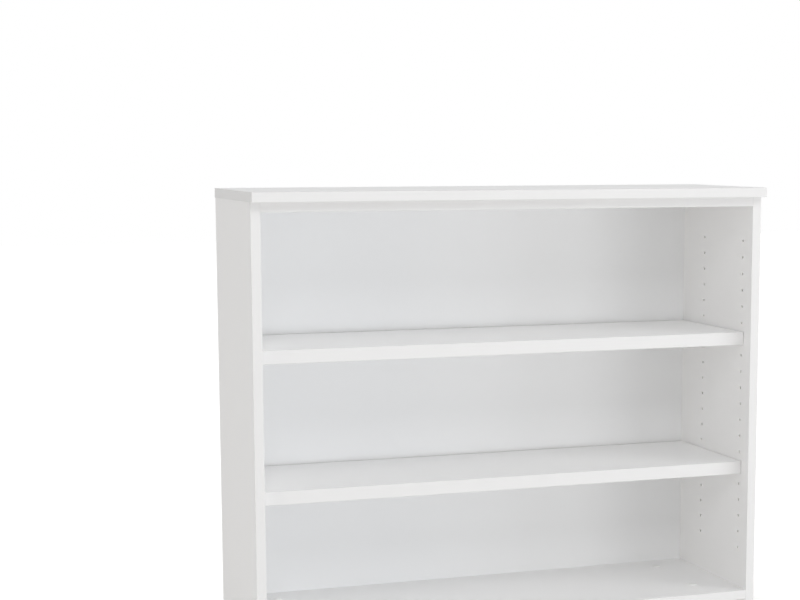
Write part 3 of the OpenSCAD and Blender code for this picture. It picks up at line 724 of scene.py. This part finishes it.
def dowel_mesh(node):
    """Dowel along Z, centred, with chamfered ends and glue grooves."""
    low, high = solids(node)[0]
    half, r = (high.x - low.x) / 2, (high.z - low.z) / 2
    body = stack(DOWEL_CHAMFER - half, half - DOWEL_CHAMFER, r, DOWEL_STEP)
    rings = [(-half, r - DOWEL_CHAMFER), *body, (half, r - DOWEL_CHAMFER)]
    return grown(node, RIDGES, turned(node, rings, even_spokes(FLUTES * FLUTE_SIDES)),
                 {"Around": float(FLUTES), "Per Metre": 0.0, "Depth": FLUTE_DEPTH, "From": -half,
                  "To": half, "Run Out": FLUTE_RUN_OUT, "Material": BEECH})


for dowels in ("carcass_dowels", "plinth_dowels"):
    set_in_place(dowels.replace("dowels", "beech_dowels"), dowel_mesh(dowels), dowels, cross_seat,
                 BEECH, "beech")


# Levelling feet: threaded spindles with a ball and a key socket, and pads with a ribbed rim

SPINDLE_SIDES = 48
SPINDLE_PITCH = 1.5 * MM
SPINDLE_THREAD = 0.85 * MM
BALL_R = 4.5 * MM
BALL_RINGS = 12
NECK_R = 3.15 * MM
NECK_LENGTH = 4.3 * MM
SPINDLE_CHAMFER = 1 * MM
KEY_FLAT = 2.5 * MM
KEY_DEPTH = 7 * MM
KEY_POINT = 1 * MM
SIXTH = math.pi / 3


def hexagon(angle):
    """Radius of the key socket's outline."""
    return KEY_FLAT / math.cos((angle + SIXTH / 2) % SIXTH - SIXTH / 2)


def spindle_mesh(name, height, shank_r):
    """Spindle standing on its ball at z = 0."""
    ball_top = math.asin(NECK_R / BALL_R)
    ball = []
    for i in range(1, BALL_RINGS + 1):
        angle = (math.pi - ball_top) * i / BALL_RINGS
        ball.append((BALL_R - BALL_R * math.cos(angle), BALL_R * math.sin(angle)))
    shoulder = ball[-1][0] + NECK_LENGTH
    thread_low = shoulder + SPINDLE_CHAMFER
    thread_high = height - SPINDLE_CHAMFER
    rings = [(0.0, POINT_R), *ball, (shoulder, NECK_R), (shoulder, shank_r - SPINDLE_CHAMFER),
             *stack(thread_low, thread_high, shank_r, SPINDLE_PITCH / THREAD_STEPS),
             (height, shank_r - SPINDLE_CHAMFER), (height, hexagon), (height - KEY_DEPTH, hexagon),
             (height - KEY_DEPTH - KEY_POINT, POINT_R)]
    return threaded(name, rings, even_spokes(SPINDLE_SIDES), SPINDLE_PITCH, SPINDLE_THREAD,
                    thread_low, thread_high, ZINC_PLATE)


PAD_RIBS = 30
PAD_RIB_DEPTH = 0.7 * MM
PAD_RIB_RUN_OUT = 0.6 * MM
PAD_RIB_ENDS = (0.8 * MM, 0.2 * MM)      # where ribs begin, and how far they pass the rim
PAD_RIM = 0.25           # height of the rim, of the pad's height
PAD_RIM_STEP = 0.5 * MM
PAD_SHOULDER = (1.2 * MM, 1.5 * MM)      # above the rim, and in from it
PAD_CHAMFER = 1 * MM
PAD_BOSS_R = 7.4 * MM
SOCKET_R = 4.8 * MM
SOCKET_RINGS = 8
MOUTH_R = 3.8 * MM


def pad_mesh(name, height, r):
    """Swivel pad standing on z = 0: a ribbed rim, a sloping top and a boss with a ball socket."""
    rim = PAD_RIM * height
    mouth_top = math.asin(MOUTH_R / SOCKET_R)
    socket = []
    for i in range(SOCKET_RINGS):
        angle = mouth_top + (math.pi - mouth_top) * i / SOCKET_RINGS
        socket.append((height / 2 + SOCKET_R * math.cos(angle), SOCKET_R * math.sin(angle)))
    rings = [(0.0, POINT_R), (0.0, r - PAD_CHAMFER), *stack(PAD_CHAMFER, rim, r, PAD_RIM_STEP),
             (rim + PAD_SHOULDER[0], r - PAD_SHOULDER[1]), (height / 2, PAD_BOSS_R + PAD_CHAMFER),
             (height - PAD_CHAMFER, PAD_BOSS_R), (height, PAD_BOSS_R - PAD_CHAMFER), (height, MOUTH_R),
             *socket, (height / 2 - SOCKET_R, POINT_R)]
    return grown(name, RIDGES, turned(name, rings, even_spokes(PAD_RIBS * FLUTE_SIDES)),
                 {"Around": float(PAD_RIBS), "Per Metre": 0.0, "Depth": PAD_RIB_DEPTH,
                  "From": PAD_RIB_ENDS[0], "To": rim + PAD_RIB_ENDS[1], "Run Out": PAD_RIB_RUN_OUT,
                  "Material": BLACK_POLYAMIDE})


for corner in FEET:
    spindle, pad = "foot_spindle_" + corner, "foot_pad_" + corner
    low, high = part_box(spindle)
    centre = (low + high) / 2
    mesh = spindle_mesh("threaded_" + spindle, high.z - low.z, (high.x - low.x) / 2)
    mesh.transform(Matrix.Translation((centre.x, centre.y, low.z)))
    shown("threaded_" + spindle, mesh, spindle, "zinc_plated", spindle)
    low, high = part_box(pad)
    mesh = pad_mesh("ribbed_" + pad, high.z - low.z, (high.x - low.x) / 2)
    mesh.transform(Matrix.Translation((centre.x, centre.y, low.z)))
    shown("ribbed_" + pad, mesh, pad, "black_plastic", pad)


# Camera: fitted to the edges and holes that the photograph shows, in a frame of 800 by 600

FRAME_W, FRAME_H = 800, 600
CAMERA_AT = (-1.1905, -3.2664, 0.9806)
CAMERA_YAW = math.radians(20.0)
CAMERA_PITCH = math.radians(7.65)
FOCAL_PX = 1816.7
AHEAD_PX = (491.7, 389.1)
SENSOR = 36.0
SEES_TO = 100.0


def make_camera():
    """Camera with a level horizon, its axis right of and below the middle of the frame."""
    camera = bpy.data.objects.new("camera", bpy.data.cameras.new("camera"))
    SCENE.collection.objects.link(camera)
    camera.location = CAMERA_AT
    camera.rotation_euler = (math.pi / 2 - CAMERA_PITCH, 0.0, -CAMERA_YAW)
    camera.data.sensor_width = SENSOR
    camera.data.lens = SENSOR * FOCAL_PX / FRAME_W
    camera.data.shift_x = (FRAME_W / 2 - AHEAD_PX[0]) / FRAME_W
    camera.data.shift_y = (AHEAD_PX[1] - FRAME_H / 2) / FRAME_W
    camera.data.clip_end = SEES_TO
    SCENE.camera = camera


# Studio: a pale floor, white behind, soft lamps round the front and a weak one behind

WHITE = "#FFFFFF"
FLOOR_SIZE = 30.0
FLOOR_WHITE = "#F8F7F6"
SHADOW_REACH = 0.45                # how far round the object its shadow shows
LIFT_NEAR, LIFT_FAR = 0.12, 0.6    # white added to the floor's look at the object and past the reach
WORLD_LIGHT = 0.49


def seen_or_mirrored(tree):
    """1 for what the camera sees directly, in a reflection or through something clear."""
    path = add(tree, "ShaderNodeLightPath").outputs
    direct = add(tree, "ShaderNodeMath", {0: path["Is Camera Ray"], 1: path["Is Glossy Ray"]},
                 operation="MAXIMUM")
    return add(tree, "ShaderNodeMath", {0: direct, 1: path["Is Transmission Ray"]}, operation="MAXIMUM")


def floor_surface(tree, point):
    """Matt pale floor that is seen as white, apart from the shadow close round the object."""
    half = (cad_box[1] - cad_box[0]) / 2
    matt = add(tree, "ShaderNodeBsdfDiffuse", {"Color": hex_colour(FLOOR_WHITE)})
    mirrored = add(tree, "ShaderNodeVectorMath", {0: point}, operation="ABSOLUTE")
    outside = add(tree, "ShaderNodeVectorMath", {0: mirrored, 1: half}, operation="SUBTRACT")
    ahead = add(tree, "ShaderNodeVectorMath", {0: outside, 1: [0.0] * 3}, operation="MAXIMUM")
    away = add(tree, "ShaderNodeVectorMath", {0: ahead}, operation="LENGTH").outputs["Value"]
    strength = add(tree, "ShaderNodeMapRange",
                   {"Value": away, "From Max": SHADOW_REACH, "To Min": LIFT_NEAR, "To Max": LIFT_FAR},
                   interpolation_type="SMOOTHSTEP")
    lift = add(tree, "ShaderNodeEmission", {"Color": hex_colour(WHITE), "Strength": strength})
    both = add(tree, "ShaderNodeAddShader", {0: matt, 1: lift})
    return add(tree, "ShaderNodeMixShader", {0: seen_or_mirrored(tree), 1: matt, 2: both}).outputs[0]


def make_floor():
    """A large level sheet at z = 0, which isn't part of the object."""
    half = FLOOR_SIZE / 2
    mesh = bpy.data.meshes.new("floor")
    mesh.from_pydata([(-half, -half, 0), (half, -half, 0), (half, half, 0), (-half, half, 0)], [],
                     [(0, 1, 2, 3)])
    mesh.materials.append(material("matt_floor", floor_surface))
    floor = bpy.data.objects.new("floor", mesh)
    SCENE.collection.objects.link(floor)


def make_world():
    """White to the camera and to reflections, a softer grey as light."""
    world = bpy.data.worlds.new("studio")
    SCENE.world = world
    world.use_nodes = True
    tree = world.node_tree
    tree.nodes.clear()
    light = add(tree, "ShaderNodeBackground", {"Color": hex_colour(WHITE), "Strength": WORLD_LIGHT})
    white = add(tree, "ShaderNodeBackground", {"Color": hex_colour(WHITE), "Strength": 1.0})
    both = add(tree, "ShaderNodeMixShader", {0: seen_or_mirrored(tree), 1: light, 2: white})
    add(tree, "ShaderNodeOutputWorld", {"Surface": both})


LAMP_AIM = Vector((0.0, 0.0, 0.5))
LAMP_AWAY = 12.0
LAMP_WIDTH = 4.4
TALL, LOW = 4.4, 0.9      # heights of the lamps; the low ones end just above the floor
COOL_LIGHT = "#F8FBFF"
WARM_LIGHT = "#FFF7EC"

# Name, azimuth, elevation, height, power and colour. Azimuth 0 is the front and 90 the right side.
LAMPS = [("high_left_lamp", -10, 38, TALL, 285.0, WHITE),
         ("high_right_lamp", 50, 38, TALL, 222.0, WHITE),
         ("left_lamp", -60, 0, LOW, 125.0, WARM_LIGHT),
         ("front_lamp", 30, 0, LOW, 145.0, WHITE),
         ("right_lamp", 60, 0, LOW, 203.0, COOL_LIGHT),
         ("rear_lamp", -150, 25, TALL, 48.0, WHITE)]


def softbox(name, azimuth, elevation, height, power, colour):
    """A wide lamp that looks at the object from far away."""
    turn, rise = math.radians(azimuth), math.radians(elevation)
    away = Vector((math.sin(turn) * math.cos(rise), -math.cos(turn) * math.cos(rise), math.sin(rise)))
    lamp = bpy.data.lights.new(name, "AREA")
    lamp.shape = "RECTANGLE"
    lamp.size = LAMP_WIDTH
    lamp.size_y = height
    lamp.energy = power
    lamp.color = hex_colour(colour)[:3]
    holder = bpy.data.objects.new(name, lamp)
    SCENE.collection.objects.link(holder)
    holder.location = LAMP_AIM + LAMP_AWAY * away
    holder.rotation_euler = (-away).to_track_quat("-Z", "Y").to_euler()


make_camera()
make_floor()
make_world()
for lamp_values in LAMPS:
    softbox(*lamp_values)

SCENE.view_settings.view_transform = "Standard"
